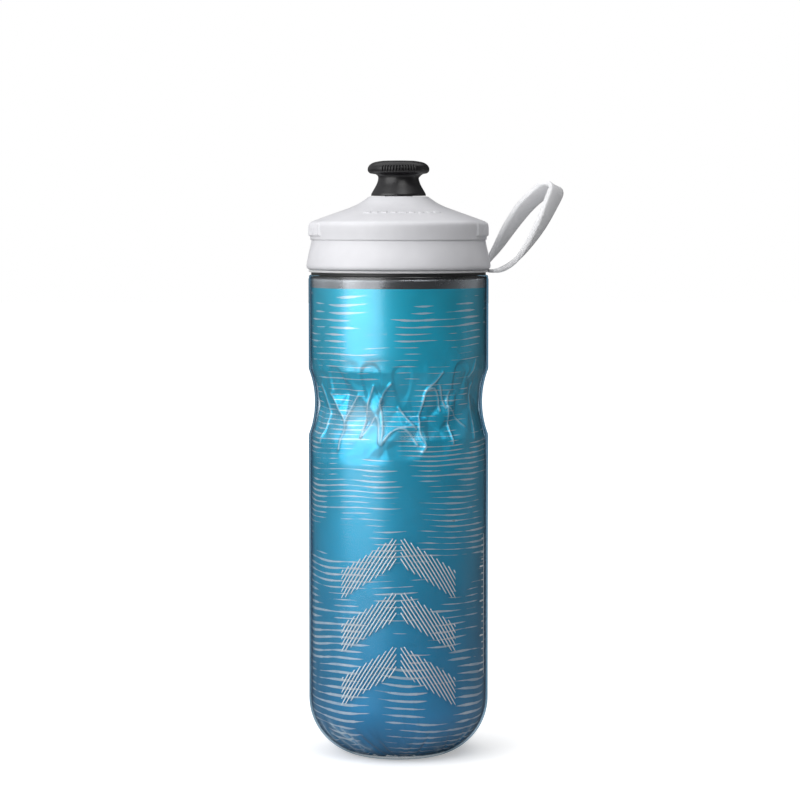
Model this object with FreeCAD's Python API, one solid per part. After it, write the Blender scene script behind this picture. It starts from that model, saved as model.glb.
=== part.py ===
import FreeCAD, Part
import math
import os

# Insulated cycling bottle: a clear outer shell over a printed metallised film and an inner bottle,
# a screw cap with a push-pull mouthpiece, and a carry strap moulded on a ring under the cap.
# Millimetres, +Z up. The origin is the centre of the face that the bottle stands on.

Vector = FreeCAD.Vector
ORIGIN = Vector(0, 0, 0)
UP = Vector(0, 0, 1)
SAME_POINT = 1e-6

# ---- driving dimensions ----------------------------------------------------------------------
BODY_R = 36.5              # outside radius of the bottle, to suit a standard cage
SHELL_WALL = 0.7
SHELL_TOP = 195.0
HEEL_R = 23.5              # rounding between the wall and the flat that the bottle stands on
WALL_FOOT = 22.7           # where the straight wall starts
FOOT_INNER_R = 12.5        # edge of the hollow in the middle of the foot
FOOT_HOLLOW = 1.6
GRIP_LOW = 130.2           # grip waist: lower corner, middle and upper corner
GRIP_MID = 143.6
GRIP_TOP = 157.0
GRIP_DEPTH = 2.5
NECK_STEP_Z = 193.4        # fine step in the wall under the strap ring
NECK_STEP = 0.2
RIM_ROUND = 1.0

FILM_GAP = 0.15            # between the shell and the film
FILM_WALL = 0.12
FILM_TUCK = 60.0           # how far round the heel the film reaches, in degrees

VESSEL_R = 32.0
VESSEL_WALL = 1.0
VESSEL_WAIST_R = 29.6
FLANGE_R = 35.4
FLANGE_T = 1.0
LIP_TOP = 211.9
LIP_H = 2.2

THREAD_LEAD = 6.0
THREAD_HEIGHT = 1.6        # ridge height, neck and cap alike
THREAD_ROOT_W = 2.4
THREAD_CREST_W = 1.2
THREAD_SINK = 0.4          # how far each ridge is rooted in its wall
NECK_THREAD_Z = 201.0      # where the neck's ridge starts
NECK_THREAD_TURNS = 1.5
CAP_THREAD_TURNS = 1.25
CAP_THREAD_ANGLE = 60.0    # where the cap's ridge starts, round from the neck's

RING_INNER_R = 32.4
RING_OUTER_R = 36.4
RING_Z = 196.1
RING_T = 1.0

CAP_BOTTOM = 197.3
CAP_TOP = 226.6
CAP_BORE_R = 34.1
CAP_SKIRT_R = 37.3
CAP_WAIST_R = 35.7
SEAT_Z = 213.5             # ceiling that the gasket bears on
SEAT_INNER_R = 30.2
GRIP_RIB_COUNT = 15
GRIP_RIB_PITCH = 4.0       # degrees between ribs
GRIP_RIB_W = 1.3
GRIP_RIB_H = 4.9
GRIP_RIB_Z = 210.9
GRIP_RIB_R = 36.85         # outside radius over the ribs
GRIP_RIB_ROOT_R = 35.2

GASKET_T = 1.5
GASKET_INNER_R = 30.4
GASKET_OUTER_R = 34.0
GASKET_EDGE = 0.3

RUNNING_GAP = 0.05
PULL = 5.8                 # travel of the mouthpiece
STEM_R = 5.6
STEM_BORE_R = 4.4
STEM_BEAD_R = 6.6
STEM_BEAD_H = 1.3
STEM_FLANGE_R = 9.0
STEM_FLANGE_T = 1.7
STEM_SEAT_Z = 223.7        # underside of the cap's top plate
COUNTERBORE_R = 7.8        # room for the O-ring over the stem's flange
COUNTERBORE_H = 1.2
SEAL_SECTION_R = 0.55
PLUG_R = 2.95
PLUG_WAIST_R = 1.9
PLUG_LOW = 226.5
PLUG_TOP = 239.6
PLUG_HEAD_H = 2.8
SPOKE_T = 1.2
SPOKE_H = 3.4

MOUTH_BOTTOM = 226.9
MOUTH_TOP = 241.0
MOUTH_RIM_R = 12.5
MOUTH_NECK_R = 8.35
MOUTH_SKIRT_R = 11.1
LIP_GUIDE_H = 1.2          # guide lip at the foot of the core
SLIDE_SEAL_T = 0.9
OUTLET_R = 3.0
CORE_R = 7.4
CORE_RIM_R = 9.8
CORE_RIM_Z = 236.2
CORE_RIM_T = 2.0
SPOUT_R = 4.6
SPOUT_TOP = 240.0
RIM_GROOVE_COUNT = 12
RIM_GROOVE_PITCH = 5.6     # degrees between grooves
RIM_GROOVE_W = 0.6
RIM_GROOVE_H = 2.3
RIM_GROOVE_Z = 236.7
RIM_GROOVE_DEPTH = 0.45

STRAP_W = 9.0
STRAP_T = 2.3
STRAP_ROOT_T = 1.2
STRAP_AZIMUTH = 18.0       # direction from the bottle's axis to the middle of the strap's hinge line
STRAP_HINGE_U = 37.0       # distance of that line from the bottle's axis
STRAP_LEG_V = 14.0         # each leg's distance along the line from its middle
STRAP_HINGE_Z = RING_Z + RING_T / 2
STRAP_GAP = 0.3            # between a leg's rounded end and the ring's tongue
TONGUE_START = 31.2
TIP_WIDTH_WAY = Vector(0.70, 0.62, -0.36)
STRAP_SECTIONS = 60

# Middle line of the loop: up the near leg, over the tip and down the far leg.
STRAP_ROUTE = [
    (42.4, -1.6, 197.5),
    (46.8, -1.6, 200.2),
    (51.0, -1.4, 204.5),
    (54.5, -1.0, 209.0),
    (57.3, -0.4, 213.3),
    (59.9, 0.5, 218.1),
    (62.1, 1.8, 223.2),
    (63.6, 3.1, 227.3),
    (63.9, 3.9, 229.6),
    (62.5, 4.8, 230.8),
    (58.3, 7.8, 228.9),
    (53.4, 11.7, 224.4),
    (48.4, 15.6, 218.1),
    (44.4, 18.7, 211.8),
    (40.6, 21.6, 205.3),
    (37.4, 23.7, 200.6),
    (34.4, 25.2, 197.5),
]

# ---- helpers ---------------------------------------------------------------------------------


def point(r, z):
    return Vector(r, 0, z)


class Outline:
    """A closed outline in the plane of radius and height, which turns into a solid of revolution."""

    def __init__(self, r, z):
        self.first = point(r, z)
        self.last = self.first
        self.edges = []

    def line(self, r, z):
        end = point(r, z)
        self.edges.append(Part.makeLine(self.last, end))
        self.last = end
        return self

    def arc(self, middle, end):
        self.edges.append(Part.Arc(self.last, point(*middle), point(*end)).toShape())
        self.last = point(*end)
        return self

    def curve(self, *points):
        """A smooth curve on from the last point through the given ones."""
        spline = Part.BSplineCurve()
        spline.interpolate([self.last] + [point(r, z) for r, z in points])
        self.edges.append(spline.toShape())
        self.last = point(*points[-1])
        return self

    def heel(self, radius, start_angle, end_angle):
        """An arc of the rounded heel, from one angle below the horizontal to another."""
        middle = heel_point(radius, (start_angle + end_angle) / 2)
        return self.arc(middle, heel_point(radius, end_angle))

    def solid(self):
        if self.last.distanceToPoint(self.first) > SAME_POINT:
            self.line(self.first.x, self.first.z)
        return Part.Face(Part.Wire(self.edges)).revolve(ORIGIN, UP, 360)


def heel_point(radius, angle):
    """A point on the rounded heel, at an angle below the horizontal."""
    turn = math.radians(angle)
    return (BODY_R - HEEL_R + radius * math.cos(turn), WALL_FOOT - radius * math.sin(turn))


def tube(inner_r, outer_r, z, height):
    outer = Part.makeCylinder(outer_r, height, point(0, z))
    return outer.cut(Part.makeCylinder(inner_r, height, point(0, z)))


def helical_ridge(wall_r, outward, start, angle, turns):
    """One thread ridge on a wall, standing out of it or into it, from a height and an angle."""
    sign = 1 if outward else -1
    root_r = wall_r - sign * THREAD_SINK
    crest_r = wall_r + sign * THREAD_HEIGHT
    helix = Part.makeHelix(THREAD_LEAD, THREAD_LEAD * turns, wall_r)
    helix.translate(Vector(0, 0, start))
    corners = [
        point(root_r, start - THREAD_ROOT_W / 2),
        point(crest_r, start - THREAD_CREST_W / 2),
        point(crest_r, start + THREAD_CREST_W / 2),
        point(root_r, start + THREAD_ROOT_W / 2),
    ]
    profile = Part.makePolygon(corners + corners[:1])
    ridge = Part.Wire(helix.Edges).makePipeShell([profile], True, True)
    ridge.rotate(ORIGIN, UP, angle)
    return ridge


def around(shape, count, pitch, middle):
    """Copies of a shape about the bottle's axis, spaced by pitch degrees about the middle angle."""
    copies = []
    for i in range(count):
        turned = shape.copy()
        turned.rotate(ORIGIN, UP, middle + (i - (count - 1) / 2) * pitch)
        copies.append(turned)
    return copies


# ---- bottle ----------------------------------------------------------------------------------


def outer_shell():
    """Clear shell: flat foot with a hollow, round heel, grip waist and a turned-in top rim."""
    inner_r = BODY_R - SHELL_WALL
    waist_r = BODY_R - GRIP_DEPTH
    rim_r = BODY_R - NECK_STEP
    opening_r = VESSEL_R + 0.1
    foot_angle = math.degrees(math.asin(WALL_FOOT / HEEL_R))
    corner_cut = RIM_ROUND * (1 - math.sqrt(0.5))
    outline = Outline(0, FOOT_HOLLOW)
    outline.curve((6, FOOT_HOLLOW - 0.25), (FOOT_INNER_R - 1, 0.25), (FOOT_INNER_R, 0))
    outline.line(*heel_point(HEEL_R, foot_angle))
    outline.heel(HEEL_R, foot_angle, 0)
    outline.line(BODY_R, GRIP_LOW)
    outline.arc((waist_r, GRIP_MID), (BODY_R, GRIP_TOP))
    outline.line(BODY_R, NECK_STEP_Z)
    outline.line(rim_r, NECK_STEP_Z + NECK_STEP)
    outline.line(rim_r, SHELL_TOP - RIM_ROUND)
    outline.arc((rim_r - corner_cut, SHELL_TOP - corner_cut), (rim_r - RIM_ROUND, SHELL_TOP))
    outline.line(opening_r, SHELL_TOP)
    outline.line(opening_r, SHELL_TOP - SHELL_WALL)
    outline.line(inner_r, SHELL_TOP - SHELL_WALL)
    outline.line(inner_r, GRIP_TOP + 0.3)
    outline.arc((waist_r - SHELL_WALL, GRIP_MID), (inner_r, GRIP_LOW - 0.3))
    outline.line(inner_r, WALL_FOOT)
    outline.heel(HEEL_R - SHELL_WALL, 0, 68)
    outline.curve((14, 1.9), (6, 2.3), (0, FOOT_HOLLOW + SHELL_WALL))
    return outline.solid()


def foil_sleeve():
    """Metallised film between the shell and the inner bottle."""
    outer_r = BODY_R - SHELL_WALL - FILM_GAP
    inner_r = outer_r - FILM_WALL
    waist_r = outer_r - GRIP_DEPTH
    heel_r = HEEL_R - SHELL_WALL - FILM_GAP
    top = SHELL_TOP - SHELL_WALL - FILM_GAP
    outline = Outline(outer_r, WALL_FOOT)
    outline.line(outer_r, GRIP_LOW)
    outline.arc((waist_r, GRIP_MID), (outer_r, GRIP_TOP))
    outline.line(outer_r, top)
    outline.line(inner_r, top)
    outline.line(inner_r, GRIP_TOP)
    outline.arc((waist_r - FILM_WALL, GRIP_MID), (inner_r, GRIP_LOW))
    outline.line(inner_r, WALL_FOOT)
    outline.heel(heel_r - FILM_WALL, 0, FILM_TUCK)
    outline.line(*heel_point(heel_r, FILM_TUCK))
    outline.heel(heel_r, FILM_TUCK, 0)
    return outline.solid()


def inner_bottle():
    """The vessel that holds the drink, with its flange on the shell's rim and a threaded neck."""
    inner_r = VESSEL_R - VESSEL_WALL
    lip_r = inner_r - 0.2
    heel_r = VESSEL_R - (BODY_R - HEEL_R)
    lip_round = 0.5
    outline = Outline(0, WALL_FOOT - heel_r)
    outline.line(BODY_R - HEEL_R, WALL_FOOT - heel_r)
    outline.heel(heel_r, 90, 0)
    outline.line(VESSEL_R, GRIP_LOW)
    outline.arc((VESSEL_WAIST_R, GRIP_MID), (VESSEL_R, GRIP_TOP))
    outline.line(VESSEL_R, SHELL_TOP)
    outline.line(FLANGE_R, SHELL_TOP)
    outline.line(FLANGE_R, SHELL_TOP + FLANGE_T)
    outline.line(VESSEL_R, SHELL_TOP + FLANGE_T)
    outline.line(VESSEL_R, LIP_TOP - lip_round)
    outline.line(VESSEL_R - lip_round, LIP_TOP)
    outline.line(lip_r, LIP_TOP)
    outline.line(lip_r, LIP_TOP - LIP_H)
    outline.line(inner_r, LIP_TOP - LIP_H - 0.8)
    outline.line(inner_r, GRIP_TOP)
    outline.arc((VESSEL_WAIST_R - VESSEL_WALL, GRIP_MID), (inner_r, GRIP_LOW))
    outline.line(inner_r, WALL_FOOT)
    outline.heel(heel_r - VESSEL_WALL, 0, 90)
    outline.line(0, WALL_FOOT - heel_r + VESSEL_WALL)
    thread = helical_ridge(VESSEL_R, True, NECK_THREAD_Z, 0, NECK_THREAD_TURNS)
    return outline.solid().fuse(thread).removeSplitter()


# ---- strap -----------------------------------------------------------------------------------

OUTWARD = Vector(math.cos(math.radians(STRAP_AZIMUTH)), math.sin(math.radians(STRAP_AZIMUTH)), 0)
ALONG = UP.cross(OUTWARD)


def strap_root(side):
    """Where a leg of the loop meets its hinge line: side -1 is the near leg, 1 the far one."""
    return OUTWARD * STRAP_HINGE_U + ALONG * (side * STRAP_LEG_V) + UP * STRAP_HINGE_Z


def strap_ring():
    """Flat ring held under the cap, with a tongue for each leg of the loop."""
    ring = tube(RING_INNER_R, RING_OUTER_R, RING_Z, RING_T)
    tongue_end = STRAP_HINGE_U - STRAP_ROOT_T / 2 - STRAP_GAP
    for side in (-1, 1):
        tongue = Part.makeBox(tongue_end - TONGUE_START, STRAP_W, RING_T)
        tongue.translate(Vector(TONGUE_START, side * STRAP_LEG_V - STRAP_W / 2, RING_Z))
        tongue.rotate(ORIGIN, UP, STRAP_AZIMUTH)
        ring = ring.fuse(tongue)
    return ring.removeSplitter()


def strap_section(centre, tangent, width_way, thickness):
    """A strap cross-section square to the middle line."""
    across = (width_way - tangent * width_way.dot(tangent)).normalize()
    through = tangent.cross(across).normalize()
    half_w = across * (STRAP_W / 2)
    half_t = through * (thickness / 2)
    corners = [
        centre - half_w - half_t,
        centre + half_w - half_t,
        centre + half_w + half_t,
        centre - half_w + half_t,
    ]
    return Part.makePolygon(corners + corners[:1])


def strap_loop():
    """The carry loop: a band that leaves the ring flat, turns as it climbs, and folds at its tip."""
    roots = [strap_root(-1), strap_root(1)]
    spline = Part.BSplineCurve()
    spline.interpolate(
        Points=[roots[0]] + [Vector(*p) for p in STRAP_ROUTE] + [roots[1]],
        InitialTangent=OUTWARD,
        FinalTangent=-OUTWARD,
    )
    middle = spline.toShape()
    sections = []
    for i in range(STRAP_SECTIONS + 1):
        share = i / STRAP_SECTIONS
        place = middle.getParameterByLength(middle.Length * share)
        to_root = abs(2 * share - 1)
        turned = 1 - to_root ** 1.5
        width_way = ALONG * (1 - turned) + TIP_WIDTH_WAY * turned
        thickness = STRAP_T - (STRAP_T - STRAP_ROOT_T) * to_root ** 6
        tangent = middle.tangentAt(place).normalize()
        sections.append(strap_section(middle.valueAt(place), tangent, width_way, thickness))
    loop = Part.makeLoft(sections, True, True)
    for root in roots:
        start = root - ALONG * (STRAP_W / 2)
        loop = loop.fuse(Part.makeCylinder(STRAP_ROOT_T / 2, STRAP_W, start, ALONG))
    return loop


# ---- cap -------------------------------------------------------------------------------------


def cap_shell():
    """Screw cap: skirt with an inside thread, gasket seat, swept cone, top plate and grip ribs."""
    stem_hole_r = STEM_R + 0.1
    flange_hole_r = STEM_FLANGE_R + 0.2
    outline = Outline(stem_hole_r, CAP_TOP)
    outline.line(11.9, CAP_TOP)
    outline.line(12.6, CAP_TOP - 0.5)
    outline.curve((16.1, 223.8), (22.0, 221.3), (29.0, 218.8), (35.0, 216.6))
    outline.curve((35.6, 216.1), (36.0, 214.9))
    outline.line(35.9, 212.6)
    outline.curve((35.75, 210.5), (CAP_WAIST_R, 209.2))
    outline.line(CAP_WAIST_R - 0.15, 209.0)
    outline.curve((35.65, 207.5), (36.1, 205.8), (36.9, 203.5), (CAP_SKIRT_R, 200.9))
    outline.curve((CAP_SKIRT_R, 199.3), (36.9, 198.0), (36.2, CAP_BOTTOM))
    outline.line(CAP_BORE_R + 0.5, CAP_BOTTOM)
    outline.line(CAP_BORE_R, CAP_BOTTOM + 0.5)
    outline.line(CAP_BORE_R, SEAT_Z)
    outline.line(SEAT_INNER_R, SEAT_Z)
    outline.line(SEAT_INNER_R, 215.7)
    outline.curve((27.0, 217.5), (21.0, 219.6), (15.0, 221.9))
    outline.line(flange_hole_r, 222.4)
    outline.line(flange_hole_r, STEM_SEAT_Z)
    outline.line(COUNTERBORE_R, STEM_SEAT_Z)
    outline.line(COUNTERBORE_R, STEM_SEAT_Z + COUNTERBORE_H)
    outline.line(stem_hole_r, STEM_SEAT_Z + COUNTERBORE_H)
    thread_z = NECK_THREAD_Z - THREAD_LEAD / 2 + THREAD_LEAD * CAP_THREAD_ANGLE / 360
    thread = helical_ridge(CAP_BORE_R, False, thread_z, CAP_THREAD_ANGLE, CAP_THREAD_TURNS)
    rib = Part.makeBox(GRIP_RIB_R - GRIP_RIB_ROOT_R, GRIP_RIB_W, GRIP_RIB_H)
    rib.translate(Vector(GRIP_RIB_ROOT_R, -GRIP_RIB_W / 2, GRIP_RIB_Z))
    ribs = []
    for side in (0, 180):
        ribs.extend(around(rib, GRIP_RIB_COUNT, GRIP_RIB_PITCH, side))
    return outline.solid().fuse([thread] + ribs).removeSplitter()


def cap_gasket():
    """Soft ring between the neck's lip and the cap's ceiling."""
    low = SEAT_Z - GASKET_T
    high = SEAT_Z - 0.1
    outline = Outline(GASKET_INNER_R, low + GASKET_EDGE)
    outline.line(GASKET_INNER_R + GASKET_EDGE, low)
    outline.line(GASKET_OUTER_R - GASKET_EDGE, low)
    outline.line(GASKET_OUTER_R, low + GASKET_EDGE)
    outline.line(GASKET_OUTER_R, high)
    outline.line(GASKET_INNER_R, high)
    return outline.solid()


# ---- valve -----------------------------------------------------------------------------------

GUIDE_TOP = MOUTH_BOTTOM + LIP_GUIDE_H
SLIDE_SEAL_Z = GUIDE_TOP + RUNNING_GAP
STEM_BEAD_Z = SLIDE_SEAL_Z + SLIDE_SEAL_T + PULL + 0.15
STEM_TOP = STEM_BEAD_Z + STEM_BEAD_H


def valve_stem():
    """Hollow post through the cap's top plate, with a plug held on three spokes in its bore."""
    flange_low = STEM_SEAT_Z - STEM_FLANGE_T
    outline = Outline(STEM_BORE_R, flange_low)
    outline.line(STEM_FLANGE_R, flange_low)
    outline.line(STEM_FLANGE_R, STEM_SEAT_Z)
    outline.line(STEM_R, STEM_SEAT_Z)
    outline.line(STEM_R, STEM_BEAD_Z)
    outline.line(STEM_BEAD_R, STEM_BEAD_Z)
    outline.line(STEM_BEAD_R, STEM_TOP - 0.5)
    outline.line(STEM_BEAD_R - 0.7, STEM_TOP)
    outline.line(STEM_BORE_R, STEM_TOP)
    plug = Outline(0, PLUG_LOW)
    plug.line(PLUG_WAIST_R, PLUG_LOW)
    plug.line(PLUG_WAIST_R, PLUG_TOP - PLUG_HEAD_H - 1.2)
    plug.line(PLUG_R, PLUG_TOP - PLUG_HEAD_H)
    plug.line(PLUG_R, PLUG_TOP - 0.4)
    plug.line(PLUG_R - 0.4, PLUG_TOP)
    plug.line(0, PLUG_TOP)
    spoke = Part.makeBox(STEM_BORE_R + 0.4, SPOKE_T, SPOKE_H)
    spoke.translate(Vector(0, -SPOKE_T / 2, PLUG_LOW + 1.4 - SPOKE_H))
    return outline.solid().fuse([plug.solid()] + around(spoke, 3, 120, 90)).removeSplitter()


def stem_seal():
    """O-ring in the cap's counterbore, round the stem above its flange."""
    middle_r = STEM_R + 0.4 + SEAL_SECTION_R
    return Part.makeTorus(middle_r, SEAL_SECTION_R, point(0, STEM_SEAT_Z + SEAL_SECTION_R))


def mouthpiece_seal():
    """Sliding ring that grips the stem inside the mouthpiece and stops it under the bead."""
    return tube(STEM_R + RUNNING_GAP, STEM_BEAD_R - RUNNING_GAP, SLIDE_SEAL_Z, SLIDE_SEAL_T)


def mouthpiece_core():
    """Stiff inner part of the mouthpiece: guide tube, rim plate and outlet."""
    guide_r = STEM_R + RUNNING_GAP
    bore_r = STEM_BEAD_R + RUNNING_GAP
    low = MOUTH_BOTTOM + 0.2
    rim_top = CORE_RIM_Z + CORE_RIM_T
    outline = Outline(guide_r, low)
    outline.line(CORE_R, low)
    outline.line(CORE_R, CORE_RIM_Z)
    outline.line(CORE_RIM_R, CORE_RIM_Z)
    outline.line(CORE_RIM_R, rim_top)
    outline.line(SPOUT_R, rim_top)
    outline.line(SPOUT_R, SPOUT_TOP)
    outline.line(OUTLET_R + 0.6, SPOUT_TOP)
    outline.line(OUTLET_R, SPOUT_TOP - 0.6)
    outline.line(OUTLET_R, SPOUT_TOP - 2.4)
    outline.line(STEM_BORE_R, STEM_TOP + 0.4)
    outline.line(bore_r, STEM_TOP + 0.4)
    outline.line(bore_r, GUIDE_TOP)
    outline.line(guide_r, GUIDE_TOP)
    return outline.solid()


def mouthpiece_grip():
    """Soft overmould: crowned bite rim with grooves, drawn-in neck and flared hollow skirt."""
    rim_top = CORE_RIM_Z + CORE_RIM_T
    skirt_hollow_z = 231.1
    outline = Outline(SPOUT_R, SPOUT_TOP)
    outline.line(SPOUT_R, SPOUT_TOP + 0.4)
    outline.curve((5.2, 240.9), (6.2, MOUTH_TOP))
    outline.curve((8.6, 240.35), (10.9, 239.35), (12.1, 238.5), (MOUTH_RIM_R, 237.7), (12.3, 236.7),
                  (11.4, 235.9))
    outline.line(9.0, 235.6)
    outline.curve((MOUTH_NECK_R, 234.8), (MOUTH_NECK_R, 233.1), (8.9, 231.5), (10.0, 229.5),
                  (11.05, 227.6))
    outline.line(MOUTH_SKIRT_R, MOUTH_BOTTOM)
    outline.line(MOUTH_SKIRT_R - 0.9, MOUTH_BOTTOM)
    outline.line(CORE_R + 0.5, skirt_hollow_z)
    outline.line(CORE_R, skirt_hollow_z)
    outline.line(CORE_R, CORE_RIM_Z)
    outline.line(CORE_RIM_R, CORE_RIM_Z)
    outline.line(CORE_RIM_R, rim_top)
    outline.line(SPOUT_R, rim_top)
    groove = Part.makeBox(RIM_GROOVE_DEPTH + 1, RIM_GROOVE_W, RIM_GROOVE_H)
    groove.translate(Vector(MOUTH_RIM_R - RIM_GROOVE_DEPTH, -RIM_GROOVE_W / 2, RIM_GROOVE_Z))
    grooves = []
    for side in (-90, 90):
        grooves.extend(around(groove, RIM_GROOVE_COUNT, RIM_GROOVE_PITCH, side))
    return outline.solid().cut(grooves)


# ---- write -----------------------------------------------------------------------------------

NODES = [
    outer_shell,
    foil_sleeve,
    inner_bottle,
    strap_ring,
    strap_loop,
    cap_shell,
    cap_gasket,
    valve_stem,
    stem_seal,
    mouthpiece_seal,
    mouthpiece_core,
    mouthpiece_grip,
]

os.makedirs("parts", exist_ok=True)
for make in NODES:
    shape = make()
    name = make.__name__
    print(name, "solids", len(shape.Solids), "valid", shape.isValid(), "volume", round(shape.Volume))
    shape.exportStep("parts/" + name + ".step")
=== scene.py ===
import math
import random

import bmesh
import bpy
import numpy as np
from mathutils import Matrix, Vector, geometry

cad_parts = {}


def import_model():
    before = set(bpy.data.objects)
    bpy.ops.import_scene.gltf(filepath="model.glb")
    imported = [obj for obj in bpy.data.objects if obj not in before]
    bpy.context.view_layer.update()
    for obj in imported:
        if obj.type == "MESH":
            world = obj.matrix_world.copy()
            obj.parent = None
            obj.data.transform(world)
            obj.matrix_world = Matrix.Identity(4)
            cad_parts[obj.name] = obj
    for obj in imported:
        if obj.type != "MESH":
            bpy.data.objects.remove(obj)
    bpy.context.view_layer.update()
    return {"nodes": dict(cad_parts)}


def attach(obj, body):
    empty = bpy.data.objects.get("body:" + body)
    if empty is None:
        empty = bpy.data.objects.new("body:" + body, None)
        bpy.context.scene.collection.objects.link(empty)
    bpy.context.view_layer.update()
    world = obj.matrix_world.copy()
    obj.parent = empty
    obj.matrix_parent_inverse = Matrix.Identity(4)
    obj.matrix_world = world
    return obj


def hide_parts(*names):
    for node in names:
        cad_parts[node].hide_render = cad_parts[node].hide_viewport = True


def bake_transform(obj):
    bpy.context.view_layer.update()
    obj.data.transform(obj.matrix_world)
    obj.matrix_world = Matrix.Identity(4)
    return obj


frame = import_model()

# Insulated cycling bottle: printed metallised film behind a clear shell, white screw cap, black mouthpiece
# and a white carry strap. Shapes are worked out in millimetres and turned into metres in build().

MM = 0.001
FRONT = -90.0              # azimuth of the side towards the camera, in degrees from +X

BODY_R = 36.5
SHELL_WALL = 0.7
SHELL_TOP = 195.0
NECK_STEP_Z = 193.4
RIM_R = BODY_R - 0.2
HEEL_R = 23.5              # radius of the round edge at the foot
WALL_FOOT = 22.7           # height at which the straight wall meets that edge
FOOT_HOLLOW = 1.6
GRIP_LOW, GRIP_TOP = 130.2, 157.0
GRIP_MIDDLE = (GRIP_TOP + GRIP_LOW) / 2
GRIP_HALF = (GRIP_TOP - GRIP_LOW) / 2
GRIP_DEPTH = 2.5
VESSEL_R = 32.0
VESSEL_WAIST_R = 29.6

FILM_GAP = 0.15            # between the shell and the film
FILM_WALL = 0.12
FILM_R = BODY_R - SHELL_WALL - FILM_GAP
FILM_TOP = SHELL_TOP - SHELL_WALL - FILM_GAP
FILM_TUCK = 68.0           # degrees that the film runs round the heel
PRINT_TOP = 190.0
FOLDS_TOP, FOLDS_FOOT = 164.0, 120.0

STRAP_HINGE_Z = 196.6

# ---- outlines ------------------------------------------------


def smooth(points, step, start=None, end=None):
    """Samples of a cubic spline through the points, about step apart; start and end are tangents."""
    p = np.array(points, float)
    gap = np.linalg.norm(np.diff(p, axis=0), axis=1)
    n = len(p)
    m = np.zeros((n, n))
    rhs = np.zeros_like(p)
    for i in range(1, n - 1):
        m[i, i - 1 : i + 2] = gap[i], 2 * (gap[i - 1] + gap[i]), gap[i - 1]
        rhs[i] = 3 * (gap[i] * (p[i] - p[i - 1]) / gap[i - 1] + gap[i - 1] * (p[i + 1] - p[i]) / gap[i])
    m[0, 0] = m[-1, -1] = 1
    rhs[0] = (p[1] - p[0]) / gap[0] if start is None else start
    rhs[-1] = (p[-1] - p[-2]) / gap[-1] if end is None else end
    if start is None and n > 2:
        m[0, :2] = 2, 1
        rhs[0] = 3 * (p[1] - p[0]) / gap[0]
    if end is None and n > 2:
        m[-1, -2:] = 1, 2
        rhs[-1] = 3 * (p[-1] - p[-2]) / gap[-1]
    slope = np.linalg.solve(m, rhs)
    out = [p[0]]
    for i in range(n - 1):
        count = max(1, int(round(gap[i] / step)))
        for j in range(1, count + 1):
            t = j / count
            a, b = p[i], p[i + 1]
            sa, sb = slope[i] * gap[i], slope[i + 1] * gap[i]
            out.append(
                (2 * t**3 - 3 * t**2 + 1) * a + (t**3 - 2 * t**2 + t) * sa
                + (3 * t**2 - 2 * t**3) * b + (t**3 - t**2) * sb
            )
    return np.array(out)


class Outline:
    """Radius and height pairs in millimetres, with straight runs, curves, arcs and eased corners."""

    def __init__(self, *start, step=1.0):
        self.points = [start] if start else []
        self.eases = {}
        self.step = step

    def line(self, r, z, ease=0.0):
        """A straight run to a corner, which is rounded by ease."""
        self.points.append((r, z))
        if ease:
            self.eases[len(self.points) - 1] = ease
        return self

    def curve(self, *points):
        for p in smooth([self.points[-1]] + list(points), self.step)[1:]:
            self.points.append(tuple(p))
        return self

    def arc(self, centre, radius, start, end):
        """An arc from one angle to another, in degrees from the outward direction."""
        count = max(2, int(abs(math.radians(end - start)) * radius / self.step))
        for i in range(count + 1):
            a = math.radians(start + (end - start) * i / count)
            p = (centre[0] + radius * math.cos(a), centre[1] + radius * math.sin(a))
            if math.dist(p, self.points[-1]) > 1e-4:
                self.points.append(p)
        return self

    def done(self, longest=2.0):
        """The closed list of points, with its corners eased and its long runs divided."""
        eased = []
        for i, p in enumerate(self.points):
            if i not in self.eases:
                eased.append(p)
                continue
            here = np.array(p)
            before = np.array(self.points[i - 1]) - here
            after = np.array(self.points[(i + 1) % len(self.points)]) - here
            cut_a, cut_b = (min(self.eases[i], 0.45 * np.linalg.norm(way)) for way in (before, after))
            a = here + before / np.linalg.norm(before) * cut_a
            b = here + after / np.linalg.norm(after) * cut_b
            for t in (0.0, 0.25, 0.5, 0.75, 1.0):
                eased.append(tuple((1 - t) ** 2 * a + 2 * t * (1 - t) * here + t * t * b))
        divided = []
        for i, p in enumerate(eased):
            a, b = np.array(p), np.array(eased[(i + 1) % len(eased)])
            parts = max(1, int(math.ceil(np.linalg.norm(b - a) / longest)))
            for j in range(parts):
                divided.append(tuple(a + (b - a) * j / parts))
        return divided


def waist_circle(r_wall, depth):
    """Centre radius and radius of the circle through both corners of the grip waist and its middle."""
    radius = (GRIP_HALF * GRIP_HALF + depth * depth) / (2 * depth)
    return r_wall - depth + radius, radius


def waist_radius(z, r_wall, depth):
    """Radius of a wall with the grip waist in it, at a height."""
    centre_r, radius = waist_circle(r_wall, depth)
    away = z - GRIP_MIDDLE
    return np.where(np.abs(away) < GRIP_HALF, centre_r - np.sqrt(np.maximum(radius**2 - away**2, 0)), r_wall)


# ---- meshes --------------------------------------------------


def stand(name, data):
    """A new object in the scene."""
    ob = bpy.data.objects.new(name, data)
    bpy.context.scene.collection.objects.link(ob)
    return ob


def build(name, verts, faces, material):
    """A smooth-shaded mesh object from points in millimetres."""
    mesh = bpy.data.meshes.new(name)
    mesh.from_pydata((np.asarray(verts, float) * MM).tolist(), [], faces)
    mesh.update()
    mesh.polygons.foreach_set("use_smooth", [True] * len(mesh.polygons))
    mesh.materials.append(material)
    ob = stand(name, mesh)
    return ob


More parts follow.
